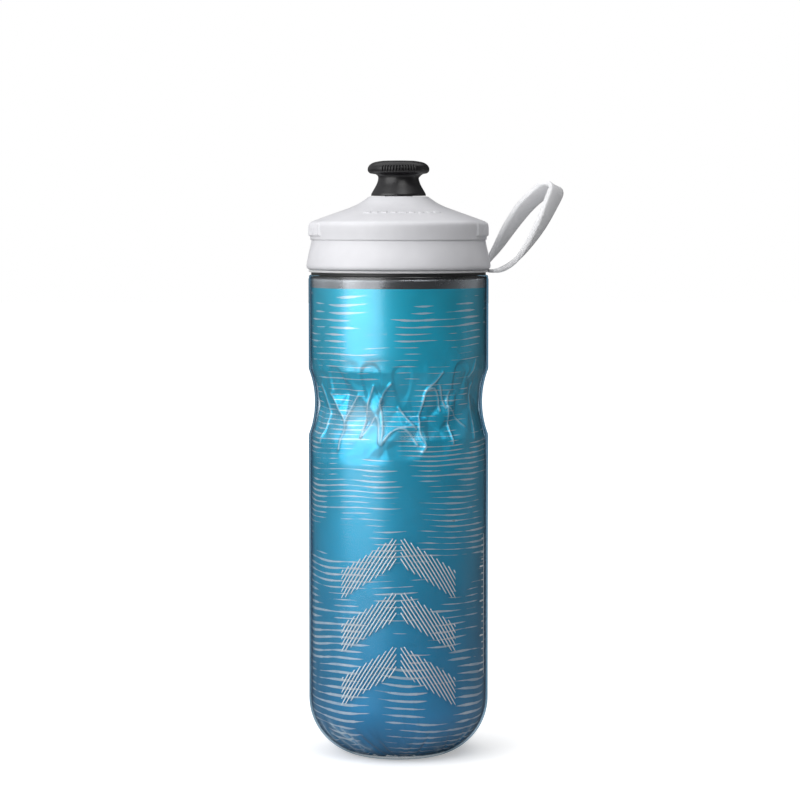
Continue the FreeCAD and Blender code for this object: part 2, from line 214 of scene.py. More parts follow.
def lathe(outline, segments, push=None):
    """Points and faces of a closed outline turned about the axis. push(azimuth, r, z) changes the radius."""
    outline = np.array(outline, float)
    turns = np.arange(segments) * (2 * math.pi / segments)
    verts, rows = [], []
    for r, z in outline:
        if r < 1e-6:
            rows.append([len(verts)])
            verts.append((0.0, 0.0, z))
            continue
        radius = np.full(segments, r) if push is None else r + push(np.degrees(turns), r, z)
        first = len(verts)
        verts.extend(zip(radius * np.cos(turns), radius * np.sin(turns), [z] * segments))
        rows.append(list(range(first, first + segments)))
    faces = []
    count = len(rows)
    for i in range(count):
        a, b = rows[i], rows[(i + 1) % count]
        if len(a) == 1 and len(b) == 1:
            continue
        for j in range(segments):
            k = (j + 1) % segments
            if len(a) == 1:
                faces.append((a[0], b[k], b[j]))
            elif len(b) == 1:
                faces.append((a[j], a[k], b[0]))
            else:
                faces.append((a[j], a[k], b[k], b[j]))
    return verts, faces


def facing_out(ob):
    """Turns every face of a closed mesh outward."""
    bm = bmesh.new()
    bm.from_mesh(ob.data)
    bmesh.ops.recalc_face_normals(bm, faces=bm.faces)
    bm.to_mesh(ob.data)
    bm.free()
    return ob


def blocks(cells):
    """Points and faces of closed strips: each cell is a list of rings with the same count of points."""
    verts, faces = [], []
    for rings in cells:
        first = len(verts)
        for ring in rings:
            verts.extend(ring)
        count, size = len(rings), len(rings[0])
        for i in range(count - 1):
            for j in range(size):
                k = (j + 1) % size
                a = first + i * size
                faces.append((a + j, a + k, a + size + k, a + size + j))
        faces.append(tuple(first + j for j in reversed(range(size))))
        faces.append(tuple(first + (count - 1) * size + j for j in range(size)))
    return verts, faces


# ---- materials -----------------------------------------------


class Nodes:
    """Short way of writing a node tree, for a material or the world."""

    def __init__(self, owner, output):
        owner.use_nodes = True
        self.tree = owner.node_tree
        self.tree.nodes.clear()
        self.out = self.node(output)

    def node(self, kind, settings=None, **inputs):
        """A new node. Inputs are given by name, or by number as i0, i1 and so on."""
        made = self.tree.nodes.new("ShaderNode" + kind)
        for key, value in (settings or {}).items():
            setattr(made, key, value)
        for key, value in inputs.items():
            self.put(made.inputs[int(key[1:]) if key[1:].isdigit() else key.replace("_", " ")], value)
        return made

    def put(self, socket, value):
        if isinstance(value, bpy.types.NodeSocket):
            self.tree.links.new(value, socket)
        else:
            socket.default_value = value

    def math(self, op, a, b=0.0):
        return self.node("Math", {"operation": op}, i0=a, i1=b).outputs[0]

    def span(self, value, low, high, to_low, to_high, kind="LINEAR"):
        """Maps a value from one range to another, kept inside it."""
        return self.node("MapRange", {"interpolation_type": kind}, i0=value, i1=low, i2=high,
                         i3=to_low, i4=to_high).outputs[0]

    def mix(self, share, a, b, blend="MIX"):
        made = self.node("Mix", {"data_type": "RGBA", "blend_type": blend})
        for socket, value in zip((made.inputs[0], made.inputs[6], made.inputs[7]), (share, a, b)):
            self.put(socket, value)
        return made.outputs[2]

    def place(self):
        return self.node("TexCoord").outputs["Object"]

    def noise(self, where, scale, detail=2.0, rough=0.5, **more):
        return self.node("TexNoise", Vector=where, Scale=scale, Detail=detail, Roughness=rough,
                         **more).outputs["Fac"]

    def bump(self, height, strength, distance, **more):
        made = self.node("Bump", Height=height, Strength=strength, Distance=distance, **more)
        return made.outputs["Normal"]

    def finish(self, shader):
        self.tree.links.new(shader.outputs[0], self.out.inputs["Surface"])


class Shade(Nodes):
    """A node material."""

    def __init__(self, name):
        self.material = bpy.data.materials.new(name)
        super().__init__(self.material, "OutputMaterial")

    def finish(self, shader):
        super().finish(shader)
        return self.material


def rgb(r, g, b):
    return (r, g, b, 1.0)


# Near black, painted into a recess as painted shade.
SEAM_PAINTED_SHADE = rgb(0.02, 0.02, 0.021)
GRAIN_DEPTH = 0.00008      # metres, as are the other bump distances
LIGHT_REACH = 0.006        # metres that light spreads inside a soft plastic


def moulded(name, low, high, rough_low, rough_high, grain, bump, scuff=None, shaded_seam=None, soft=0.0):
    """Moulded plastic or rubber: slight cloudiness, a fine grain, uneven gloss and a few scuffs.

    low and high are its two colours, grain is the scale of the fine texture and bump that texture's strength.
    A seam gives the two heights in millimetres between which the plastic is painted near black: painted shade
    in the recess under the strap ring. soft is the share of the light that spreads under the surface.
    """
    s = Shade(name)
    at = s.place()
    cloud = s.noise(at, 55.0, 3.0, 0.55)
    fine = s.noise(at, grain, 2.0, 0.6)
    base = s.mix(s.span(cloud, 0.35, 0.65, 0.0, 1.0), low, high)
    if scuff is not None:
        wear = s.noise(at, 160.0, 6.0, 0.72, Distortion=0.6)
        base = s.mix(s.span(wear, 0.66, 0.78, 0.0, 0.35), base, scuff)
    # Painted shade: the plastic between the two heights is made near black, as if it lay in the shadow of the
    # recess.
    if shaded_seam is not None:
        z = s.node("SeparateXYZ", Vector=at).outputs["Z"]
        above = s.math("GREATER_THAN", z, shaded_seam[0] * MM)
        below = s.math("LESS_THAN", z, shaded_seam[1] * MM)
        base = s.mix(s.math("MULTIPLY", above, below), base, SEAM_PAINTED_SHADE)
    smear = s.noise(at, 30.0, 4.0, 0.6, Distortion=1.2)
    rough = s.span(s.math("ADD", smear, s.math("MULTIPLY", fine, 0.4)), 0.45, 0.95, rough_low, rough_high)
    texture = s.bump(fine, bump, GRAIN_DEPTH)
    shader = s.node("BsdfPrincipled", Base_Color=base, Roughness=rough, Normal=texture)
    if soft:
        s.put(shader.inputs["Subsurface Weight"], soft)
        s.put(shader.inputs["Subsurface Radius"], (1.0, 1.0, 1.0))
        s.put(shader.inputs["Subsurface Scale"], LIGHT_REACH)
    return s.finish(shader)


WHITE_PLASTIC = moulded("white_cap_plastic", rgb(0.70, 0.698, 0.727), rgb(0.76, 0.758, 0.787), 0.34, 0.46,
                        2600.0, 0.22, rgb(0.60, 0.60, 0.62))
STRAP_RUBBER = moulded("strap_rubber", rgb(0.84, 0.84, 0.865), rgb(0.90, 0.90, 0.925), 0.44, 0.58,
                       1800.0, 0.30, rgb(0.78, 0.78, 0.80), soft=0.7)
BLACK_RUBBER = moulded("black_mouthpiece_rubber", rgb(0.007, 0.0065, 0.0075), rgb(0.012, 0.011, 0.013), 0.27,
                       0.40, 1600.0, 0.30, rgb(0.028, 0.026, 0.029))
BLACK_PLASTIC = moulded("black_mouthpiece_plastic", rgb(0.014, 0.013, 0.015), rgb(0.022, 0.021, 0.023), 0.28,
                        0.42, 2200.0, 0.18, rgb(0.04, 0.04, 0.042))
GREY_RUBBER = moulded("seal_rubber", rgb(0.10, 0.10, 0.105), rgb(0.14, 0.14, 0.145), 0.5, 0.62, 1500.0, 0.25)
# The vessel's neck carries a band of painted shade in the gap between the shell's top and the strap ring.
NATURAL_PLASTIC = moulded("natural_vessel_plastic", rgb(0.56, 0.57, 0.58), rgb(0.64, 0.65, 0.66), 0.36, 0.5,
                          1400.0, 0.25, rgb(0.5, 0.5, 0.5), shaded_seam=(SHELL_TOP - 1.5, STRAP_HINGE_Z - 0.2))
STEM_PLASTIC = moulded("stem_plastic", rgb(0.60, 0.60, 0.61), rgb(0.67, 0.67, 0.68), 0.3, 0.42, 2000.0, 0.2)
PRINT_WHITE = moulded("white_print", rgb(0.70, 0.76, 0.80), rgb(0.80, 0.86, 0.90), 0.4, 0.55, 2400.0, 0.2)


RAMP_HEIGHT = 200.0        # height in millimetres that the film's ramps are measured over
ROWS = 78.2                # rows of dashes over that height
ROWS_BELOW = ((60, 20.0), (115, 42.9), (160, 64.9))     # height, rows below it: closest at the grip
DASH_COLOUR = rgb(0.66, 0.76, 0.85)
# Pale colour along the creases: partly cracked ink, partly a painted highlight of light catching the folds.
CRACK_AND_GLINT_COLOUR = rgb(0.70, 0.86, 0.93)
# Colours of the bare film facing the camera and seen at a slant: a painted reflection of dark surroundings in
# front and brighter ones to the sides.
METAL_FACING, METAL_SLANTED = rgb(0.155, 0.155, 0.165), rgb(0.70, 0.71, 0.74)
INK_FOOT, INK_MIDDLE, INK_TOP = rgb(0.003, 0.265, 0.57), rgb(0.002, 0.455, 0.725), rgb(0.002, 0.595, 0.83)


def film_dashes(s, flat, height):
    """Rows of tapered unprinted dashes. Gives the share of bare film, and the raggedness of its edges."""
    x, y, _ = s.node("SeparateXYZ", Vector=flat).outputs
    curve = s.node("FloatCurve", Value=s.math("DIVIDE", height, RAMP_HEIGHT))
    for at, rows in ROWS_BELOW:
        curve.mapping.curves[0].points.new(at / RAMP_HEIGHT, rows / ROWS)
    curve.mapping.update()
    sway = s.span(s.noise(flat, 26.0, 1.0, 0.5), 0.2, 0.8, -0.7, 0.7)
    row = s.math("ADD", s.math("MULTIPLY", curve.outputs[0], ROWS), sway)
    index = s.math("FLOOR", row)
    across = s.math("ABSOLUTE", s.math("SUBTRACT", s.math("FRACT", row), 0.5))
    chance = s.node("TexWhiteNoise", {"noise_dimensions": "1D"}, W=index).outputs["Value"]
    layer = s.math("ADD", s.math("MULTIPLY", index, 0.135), s.math("MULTIPLY", chance, 0.62))
    along = s.node("CombineXYZ", X=s.math("MULTIPLY", x, 60.0), Y=s.math("MULTIPLY", y, 60.0), Z=layer)
    length = s.noise(along.outputs[0], 1.0, 2.0, 0.45)
    least = s.span(height, 130.0, 155.0, 0.452, 0.485)
    width = s.span(s.math("SUBTRACT", length, least), 0.0, 0.165, 0.0, 0.17)
    ragged = s.math("MULTIPLY", s.math("SUBTRACT", s.noise(flat, 900.0, 2.0), 0.5), 0.05)
    inside = s.math("SUBTRACT", s.math("ADD", width, ragged), across)
    dash = s.math("MULTIPLY", s.span(inside, -0.02, 0.025, 0.0, 1.0), s.math("GREATER_THAN", width, 0.012))
    return s.math("MULTIPLY", dash, s.math("LESS_THAN", height, PRINT_TOP - 1.4)), ragged


def film_material():
    """Metallised film: bare at the top, blue ink below with tapered unprinted dashes in rows."""
    s = Shade("printed_metal_film")
    flat = s.node("Attribute", {"attribute_name": "film_at"}).outputs["Vector"]
    height = s.math("MULTIPLY", s.node("SeparateXYZ", Vector=flat).outputs["Z"], 1 / MM)
    dash, ragged = film_dashes(s, flat, height)
    printed = s.math("LESS_THAN", height, s.math("ADD", PRINT_TOP, s.math("MULTIPLY", ragged, 1.5)))
    worn = s.span(s.noise(flat, 130.0, 3.0, 0.6), 0.35, 0.65, 0.60, 0.98)
    ink_share = s.math("MULTIPLY", printed, s.math("SUBTRACT", 1.0, s.math("MULTIPLY", dash, worn)))
    ramp = s.node("ValToRGB", Fac=s.math("DIVIDE", height, RAMP_HEIGHT))
    stops = ramp.color_ramp.elements
    stops[0].position, stops[0].color = 0.06, INK_FOOT
    stops[1].position, stops[1].color = 0.93, INK_TOP
    stops.new(0.5).color = INK_MIDDLE
    cloud = s.span(s.noise(flat, 22.0, 3.0, 0.6), 0.3, 0.7, 0.84, 1.14)
    slant = s.node("LayerWeight", Blend=0.5).outputs["Facing"]
    ink = s.mix(1.0, ramp.outputs[0], cloud, "MULTIPLY")
    # Painted shade: the ink is made darker where the film is seen at a slant, towards the bottle's sides.
    ink = s.mix(1.0, ink, s.span(slant, 0.15, 0.75, 1.0, 0.68), "MULTIPLY")
    # Painted reflection: bare film is made dark where it faces the camera and pale where it is seen at a
    # slant.
    metal = s.mix(s.span(slant, 0.08, 0.5, 0.0, 1.0), METAL_FACING, METAL_SLANTED)
    base = s.mix(ink_share, s.mix(dash, metal, DASH_COLOUR), ink)
    # Creases are painted pale and matt: partly cracked ink, partly a painted highlight.
    crease = s.node("Attribute", {"attribute_name": "crease"}).outputs["Fac"]
    cracked_and_glinting = s.math("MULTIPLY", crease, s.span(s.noise(flat, 420.0, 2.0, 0.6), 0.35, 0.6, 0.35, 1.0))
    base = s.mix(s.math("MULTIPLY", cracked_and_glinting, 0.85), base, CRACK_AND_GLINT_COLOUR)
    matt = s.math("MAXIMUM", s.math("MULTIPLY", dash, 0.48), s.math("MULTIPLY", cracked_and_glinting, 0.42))
    metallic = s.math("SUBTRACT", s.span(ink_share, 0.0, 1.0, 0.92, 0.46), matt)
    smear = s.noise(flat, 70.0, 4.0, 0.6)
    smoother = s.math("MULTIPLY", s.math("SUBTRACT", 1.0, ink_share), -0.08)
    rough = s.math("ADD", s.span(smear, 0.3, 0.7, 0.33, 0.41), smoother)
    grain = s.bump(s.noise(flat, 1500.0, 2.0, 0.6), 0.12, 0.00005)
    uneven = s.bump(smear, 0.25, 0.0006, Normal=grain)
    shader = s.node("BsdfPrincipled", Base_Color=base, Metallic=metallic, Roughness=rough, Normal=uneven)
    return s.finish(shader)


def shell_material():
    """Clear, slightly satin plastic: see-through, darker where it is seen edge on, gloss on the outside."""
    s = Shade("clear_shell_plastic")
    at = s.place()
    z = s.node("SeparateXYZ", Vector=at).outputs["Z"]
    smear = s.noise(at, 34.0, 4.0, 0.6, Distortion=0.8)
    tint = s.mix(s.span(smear, 0.3, 0.7, 0.0, 1.0), rgb(0.95, 0.97, 0.98), rgb(0.98, 0.99, 1.0))
    # Painted shade: the shell's top edge lets almost no light through, giving a dark line for the shadow
    # under the strap ring.
    tint = s.mix(s.math("GREATER_THAN", z, (SHELL_TOP - 0.55) * MM), tint, rgb(0.03, 0.03, 0.032))
    facing = s.node("LayerWeight", Blend=0.5).outputs["Facing"]
    edge_on = s.math("MULTIPLY", s.span(facing, 0.69, 0.84, 0.0, 1.0), s.span(z, 0.006, 0.026, 0.6, 1.0))
    clear = s.node("BsdfTransparent", Color=s.mix(edge_on, tint, rgb(0.24, 0.38, 0.47)))
    gloss = s.node("BsdfGlossy", Color=rgb(1, 1, 1), Roughness=s.span(smear, 0.3, 0.7, 0.21, 0.29),
                   Normal=s.bump(s.noise(at, 1300.0, 2.0, 0.6), 0.10, 0.00004))
    fresnel = s.math("MULTIPLY", s.node("Fresnel", IOR=1.55).outputs[0], 1.6)
    outside = s.math("SUBTRACT", 1.0, s.node("NewGeometry").outputs["Backfacing"])
    share = s.math("MULTIPLY", s.math("MINIMUM", fresnel, 0.10), outside)
    return s.finish(s.node("MixShader", i0=share, i1=clear.outputs[0], i2=gloss.outputs[0]))


# ---- film ----------------------------------------------------


def film_limit(z):
    """Largest radius that the film may have inside the shell, at a height on the wall."""
    return waist_radius(z, FILM_R, GRIP_DEPTH)


# Folds of the film at the grip waist: azimuth from the front in degrees, height, depth below the shell.
# These are on the side towards the camera; the rest of the way round is laid out by rule.
FRONT_FOLDS = [
    (-88, 150.1, 0.3), (-84, 143.1, 0.7), (-88, 136.1, 0.2), (-78, 153.1, 0.2), (-72, 142.1, 2.0),
    (-76, 132.1, 0.4),
    (-56, 157.1, 0.1), (-52, 148.1, 0.1), (-58, 140.1, 2.0), (-50, 133.1, 0.6), (-40, 137.4, 0.1),
    (-40, 148.1, 2.9), (-42, 156.6, 0.7), (-29, 148.6, 0.1), (-18, 151.1, 0.2), (-17.5, 141.1, 0.1),
    (-27, 131.1, 2.3), (-23, 137.1, 3.1), (-15.2, 139.3, 0.2), (-13, 128.1, 0.1),
    (-10.5, 145.6, 2.4), (-5, 152.1, 0.2), (-12.5, 145.1, 0.1), (-10.2, 134.1, 0.1), (-9, 126.6, 0.5),
    (-1, 142.1, 2.6), (2.5, 135.6, 0.1), (11.0, 131.6, 1.9), (12.0, 139.6, 3.2), (8, 147.1, 1.6),
    (17.5, 145.4, 0.1), (14.3, 137.1, 0.1), (19.5, 129.1, 0.1), (24, 151.9, 0.1), (30, 157.6, 0.1),
    (22.5, 139.1, 2.5), (28, 150.4, 0.9), (35, 146.1, 2.2), (38, 141.1, 0.1), (29.5, 134.1, 1.6),
    (38.2, 129.1, 0.1), (45.5, 149.6, 0.2), (46, 138.6, 2.9), (53, 132.6, 0.2), (60, 143.1, 0.3),
    (56, 154.1, 1.0), (64, 157.6, 0.1), (68, 148.1, 2.4), (74, 137.1, 0.3), (78, 150.1, 0.5),
    (80, 131.1, 0.6), (84, 142.1, 0.7), (88, 152.1, 0.2), (90, 136.1, 0.3),
]

# Sharp pinched creases on the same scale: runs of (azimuth, height).
FRONT_CREASES = [
    [(30, 157.1), (26, 153.6), (20, 150.1), (17.5, 145.4), (15.4, 140.1), (14.3, 136.6), (15.6, 131.6),
     (18.0, 127.6), (16.0, 125.7)],
    [(-5, 152.6), (-9.5, 149.6), (-12.8, 145.3), (-12.2, 141.1), (-10.8, 135.1), (-11.5, 128.6)],
    [(-27, 131.1), (-21, 135.6), (-15.4, 139.5), (-13.6, 135.1), (-12.6, 129.1)],
    [(-11, 128.7), (-6.5, 132.7), (2.0, 135.1), (8.2, 132.5), (12.5, 128.5)],
    [(-55, 148.1), (-47, 142.1), (-40, 137.4), (-41.5, 131.1), (-43, 126.1)],
    [(-40, 137.4), (-34, 143.1), (-29, 147.6)],
    [(38, 149.1), (37.5, 141.1), (38.4, 134.1), (38.0, 128.6)],
    [(61, 161.6), (56, 154.6)],
    [(20, 150.1), (24.5, 150.7), (29.5, 147.1), (31.5, 141.6)],
    [(38.5, 143.0), (44, 140.0), (52, 134.8)],
    [(-66, 151.0), (-62, 143.5), (-60, 135.0), (-63, 128.0)],
    [(-17.5, 151.5), (-21, 146.0), (-24, 139.0), (-27, 131.5)],
    [(0, 143.0), (5, 139.5), (12.2, 134.8)],
    [(29.8, 151.7), (33, 147.0), (36, 142.6)],
    [(64, 152.0), (60, 144.0), (62, 136.0), (59, 130.0)],
]


# Round-headed hollows above the folds: azimuth, height, reach, depth.
HOLLOWS = [
    (-18.5, 156.5, 4.6, 0.75), (2.5, 156.0, 4.4, 0.6), (-47, 155, 4.4, 0.6), (46, 157, 4.6, 0.6),
    (120, 156, 5.0, 0.7), (165, 157, 4.6, 0.6), (214, 156, 5.0, 0.7), (250, 156.5, 4.4, 0.6),
]

# Slow unevenness of the loose film: waves round the bottle, climb, shift, size.
LOOSENESS = [(5, 0.045, 0.3, 0.09), (8, -0.07, 1.9, 0.06), (13, 0.03, 4.0, 0.035)]

# Pleats where the film gathers round the heel: azimuth, spread, depth, lean.
PLEATS = [(-62, 5.0, 0.8, 0.4), (-50, 4.0, 1.0, 0.9), (-41, 3.2, 0.8, 1.1), (-30, 3.0, 0.5, 1.0),
          (-21, 2.6, 0.35, 0.5), (-4, 3.5, 0.2, 0.3), (14, 3.0, 0.2, -0.2), (25, 2.2, 0.4, -0.3),
          (33, 2.4, 0.3, 0.5), (52, 3.0, 0.4, 0.2), (66, 4.0, 0.7, -0.4)]

# Creases of the gathered film: azimuth in degrees, height measured along the film.
HEEL_CREASES = [
    [(-53, 15.2), (-46, 11.5), (-38.2, 7.3), (-34, 4.0), (-32.6, 0.4)],
    [(-58, 9.5), (-49, 7.5), (-43, 3.0), (-41, -0.5)],
    [(-43, 13.0), (-36, 10.0), (-31, 5.5), (-24, 3.0)],
    [(-66, 14.0), (-60, 5.0)],
    [(33, 4.2), (36.5, 2.0), (39, -0.8)],
    [(62, 12.0), (56, 6.0), (57, 1.0)],
    [(120, 9.0), (127, 4.0), (131, 0.0)], [(203, 11.0), (196, 6.0), (199, 0.0)], [(160, 5.0), (166, 0.0)],
]


def back_folds(rng):
    """Fold points for the far side: ridges and hollows in staggered rows."""
    made = []
    ridge = 0.1
    rows = (154.6, 0.0, 0.9), (148.0, 0.5, 2.5), (142.0, 0.0, 3.3), (135.5, 0.5, 2.7), (128.5, 0.0, 1.0)
    for height, stagger, hollow in rows:
        for i in range(9):
            turn = 98 + (i + stagger) * 20.5 + rng.uniform(-3.5, 3.5)
            if turn > 256:
                continue
            made.append((turn, height + rng.uniform(-1.6, 1.6), ridge + rng.uniform(0, 0.25)))
            made.append((turn + 10.2 + rng.uniform(-2.5, 2.5), height + rng.uniform(-2, 2),
                         hollow * rng.uniform(0.75, 1.05)))
    return made


def fold_depth(turns, heights, rng):
    """Depth of the folded film below the shell, over a grid of azimuths and heights."""
    folds = FRONT_FOLDS + back_folds(rng)
    margin = []
    for i in range(40):
        turn = -90 + i * 9.0
        margin.append((turn, 161.5 + rng.uniform(-1.5, 1.5), 0.0))
        margin.append((turn + 4.5, 122.5 + rng.uniform(-1.5, 1.5), 0.0))
    return facets(turns, heights, folds + margin)


def crumple(turns, heights, rng):
    """Small flat facets over the folds, as in film that has been pressed and let go."""
    spots = []
    for row in range(11):
        for i in range(52):
            spots.append((-90 + (i + row % 2 / 2 + rng.uniform(-0.35, 0.35)) * 360 / 52,
                          122.0 + row * 4.0 + rng.uniform(-1.4, 1.4), rng.uniform(0.0, 0.6)))
    return facets(turns, heights, spots)


def round_film(turn):
    """Millimetres round the film, from an azimuth in degrees."""
    return turn * math.radians(1) * FILM_R


def facets(turns, heights, spots):
    """Depth over a grid from spots (azimuth, height, depth) joined by flat triangles all round."""
    points = []
    for turn, height, depth in spots:
        for lap in (-360, 0, 360):
            points.append((turn + lap, height, depth))
    flat = [Vector((round_film(t), h)) for t, h, _ in points]
    verts, _, tris, sources, *_ = geometry.delaunay_2d_cdt(flat, [], [], 0, 1e-5)
    depth_at = [points[s[0]][2] for s in sources]
    grid_u = round_film(turns)
    depth = np.zeros((len(heights), len(turns)))
    for tri in tris:
        (ax, ay), (bx, by), (cx, cy) = (tuple(verts[k]) for k in tri)
        det = (by - cy) * (ax - cx) + (cx - bx) * (ay - cy)
        if abs(det) < 1e-9:
            continue
        cols = np.where((grid_u >= min(ax, bx, cx)) & (grid_u <= max(ax, bx, cx)))[0]
        lines = np.where((heights >= min(ay, by, cy)) & (heights <= max(ay, by, cy)))[0]
        if not len(cols) or not len(lines):
            continue
        gu, gh = np.meshgrid(grid_u[cols], heights[lines])
        wa = ((by - cy) * (gu - cx) + (cx - bx) * (gh - cy)) / det
        wb = ((cy - ay) * (gu - cx) + (ax - cx) * (gh - cy)) / det
        wc = 1 - wa - wb
        inside = (wa >= -1e-9) & (wb >= -1e-9) & (wc >= -1e-9)
        value = wa * depth_at[tri[0]] + wb * depth_at[tri[1]] + wc * depth_at[tri[2]]
        block = depth[np.ix_(lines, cols)]
        block[inside] = value[inside]
        depth[np.ix_(lines, cols)] = block
    return depth


def near_run(turns, heights, run):
    """Distance in millimetres of every grid point from a run of (azimuth, height) points."""
    gu, gh = np.meshgrid(round_film(turns), heights)
    best = np.full(gu.shape, 1e9)
    line = smooth([(round_film(t), h) for t, h in run], 0.5)
    for (ax, ay), (bx, by) in zip(line[:-1], line[1:]):
        length = (bx - ax) ** 2 + (by - ay) ** 2
        t = np.clip(((gu - ax) * (bx - ax) + (gh - ay) * (by - ay)) / length, 0, 1)
        best = np.minimum(best, np.hypot(gu - ax - t * (bx - ax), gh - ay - t * (by - ay)))
    return best


def blur(field):
    """Softens a field that wraps round in its second direction."""
    field = (np.roll(field, 1, 1) + 2 * field + np.roll(field, -1, 1)) / 4
    middle = (field[:-2] + 2 * field[1:-1] + field[2:]) / 4
    return np.concatenate([field[:1], middle, field[-1:]])


def waist_film(turns, wall, rng):
    """Depth of the film below the shell over the wall, and its pale crease paint: cracked ink and painted
    highlight.
    """
    depth = blur(fold_depth(turns, wall, rng) + crumple(turns, wall, random.Random(3)))
    gu, gh = np.meshgrid(round_film(turns), wall)
    for turn, height, reach, deep in HOLLOWS:
        above, below = np.maximum(gh - height, 0), np.maximum(height - gh, 0)
        away = np.hypot(gu - round_film(turn), above + 0.35 * below)
        depth += deep * np.clip((reach - away) / 1.1, 0, 1)
    sharp = np.zeros_like(depth)
    for run in FRONT_CREASES:
        away = near_run(turns, wall, run)
        depth -= 0.62 * np.exp(-((away / 0.5) ** 2))
        sharp = np.maximum(sharp, np.exp(-((away / 0.3) ** 2)))
    vessel_r = waist_radius(wall, VESSEL_R, VESSEL_R - VESSEL_WAIST_R) + 0.25
    room = (film_limit(wall) - vessel_r)[:, None]
    depth = np.minimum(np.maximum(depth, -0.1), room)
    fade = np.clip((FOLDS_TOP - wall) / 4, 0, 1) * np.clip((wall - FOLDS_FOOT) / 4, 0, 1)
    return depth * fade[:, None], np.where(sharp > 0.12, sharp, 0)


def gather(full, worn, turns, along):
    """Adds the pleats and creases round the heel to the film's depth and to its pale crease paint (cracked
    ink and painted highlight).
    """
    tuck = np.clip((along - WALL_FOOT + 6.0) / -10.0, 0, 1)[:, None]
    for turn, spread, deep, lean_way in PLEATS:
        centre = turn + lean_way * (WALL_FOOT - along)[:, None]
        off = (turns[None, :] - centre + 180) % 360 - 180
        full += tuck * deep * np.clip(1 - np.abs(off) / spread, 0, 1)
    for run in HEEL_CREASES:
        away = near_run(turns, along, run)
        full -= 0.5 * np.exp(-((away / 0.6) ** 2))
        # A thin pale line along each heel crease with a faint broad halo: cracked ink and painted highlight.
        line = np.exp(-((away / 0.5) ** 2))
        halo = 0.32 * np.exp(-((away / 1.6) ** 2))
        np.maximum(worn, np.maximum(line, halo), out=worn)


def double_sheet(rows, columns):
    """Faces of a closed thin tube: an outer grid, an inner grid, and the two edges between them."""
    sheet = rows * columns
    last = sheet - columns
    around = [(j, (j + 1) % columns) for j in range(columns)]
    faces = []
    for row in range(0, last, columns):
        for j, k in around:
            a, b, c, d = row + j, row + k, row + columns + k, row + columns + j
            faces.append((d, c, b, a))
            faces.append((sheet + a, sheet + b, sheet + c, sheet + d))
    for j, k in around:
        faces.append((j, k, sheet + k, sheet + j))
        faces.append((last + k, last + j, sheet + last + j, sheet + last + k))
    return faces


def keep_on_points(mesh, name, kind, field, values):
    """Stores a value for every point of both grids of the sheet."""
    layer = mesh.attributes.new(name, kind, "POINT")
    layer.data.foreach_set(field, np.concatenate([values, values]).astype(np.float32).ravel())


def foil(rng):
    """The film as a closed thin sheet, wrinkled at the grip and crumpled where it tucks under."""
    columns = 560
    turns = np.arange(columns) * (360 / columns) - 90.0
    # Rows lie close together over the folds.
    wall = np.concatenate([np.arange(FILM_TOP, FOLDS_TOP, -1.6), np.arange(FOLDS_TOP - 0.4, 118.4, -0.4),
                           np.arange(117.0, WALL_FOOT + 0.5, -1.8), [WALL_FOOT]])
    heel_r = HEEL_R - SHELL_WALL - FILM_GAP
    angles = np.linspace(0, FILM_TUCK, 44)[1:]
    bend = np.radians(angles)
    base_r = np.concatenate([film_limit(wall), BODY_R - HEEL_R + heel_r * np.cos(bend)])
    base_z = np.concatenate([wall, WALL_FOOT - heel_r * np.sin(bend)])
    along = np.concatenate([wall, WALL_FOOT - heel_r * bend])
    lean = np.radians(np.concatenate([np.zeros(len(wall)), angles]))[:, None]
    depth, cracks_and_glints = waist_film(turns, wall, rng)
    full = np.zeros((len(along), columns))
    for waves, climb, shift, size in LOOSENESS:
        full += size * (1 + np.sin(np.radians(turns)[None, :] * waves + along[:, None] * climb + shift))
    full *= 0.5
    full[: len(wall)] += depth
    worn = np.zeros_like(full)
    worn[: len(wall)] = cracks_and_glints
    gather(full, worn, turns, along)
    full = np.maximum(full, 0.02)
    radians = np.radians(turns + FRONT)[None, :]
    verts = []
    for inset in (0.0, FILM_WALL):
        r = base_r[:, None] - (full + inset) * np.cos(lean)
        z = base_z[:, None] + (full + inset) * np.sin(lean)
        verts.append(np.stack([r * np.cos(radians), r * np.sin(radians), z + 0 * radians], -1).reshape(-1, 3))
    ob = build("film_sleeve", np.concatenate(verts), double_sheet(len(along), columns), film_material())
    unfolded = np.broadcast_arrays(FILM_R * np.cos(radians), FILM_R * np.sin(radians), along[:, None])
    # crease holds how strongly each point is painted pale: cracked ink and painted highlight.
    keep_on_points(ob.data, "crease", "FLOAT", "value", worn.ravel())
    keep_on_points(ob.data, "film_at", "FLOAT_VECTOR", "vector", np.stack(unfolded, -1).reshape(-1, 3) * MM)
    return facing_out(ob)


# ---- bottle --------------------------------------------------


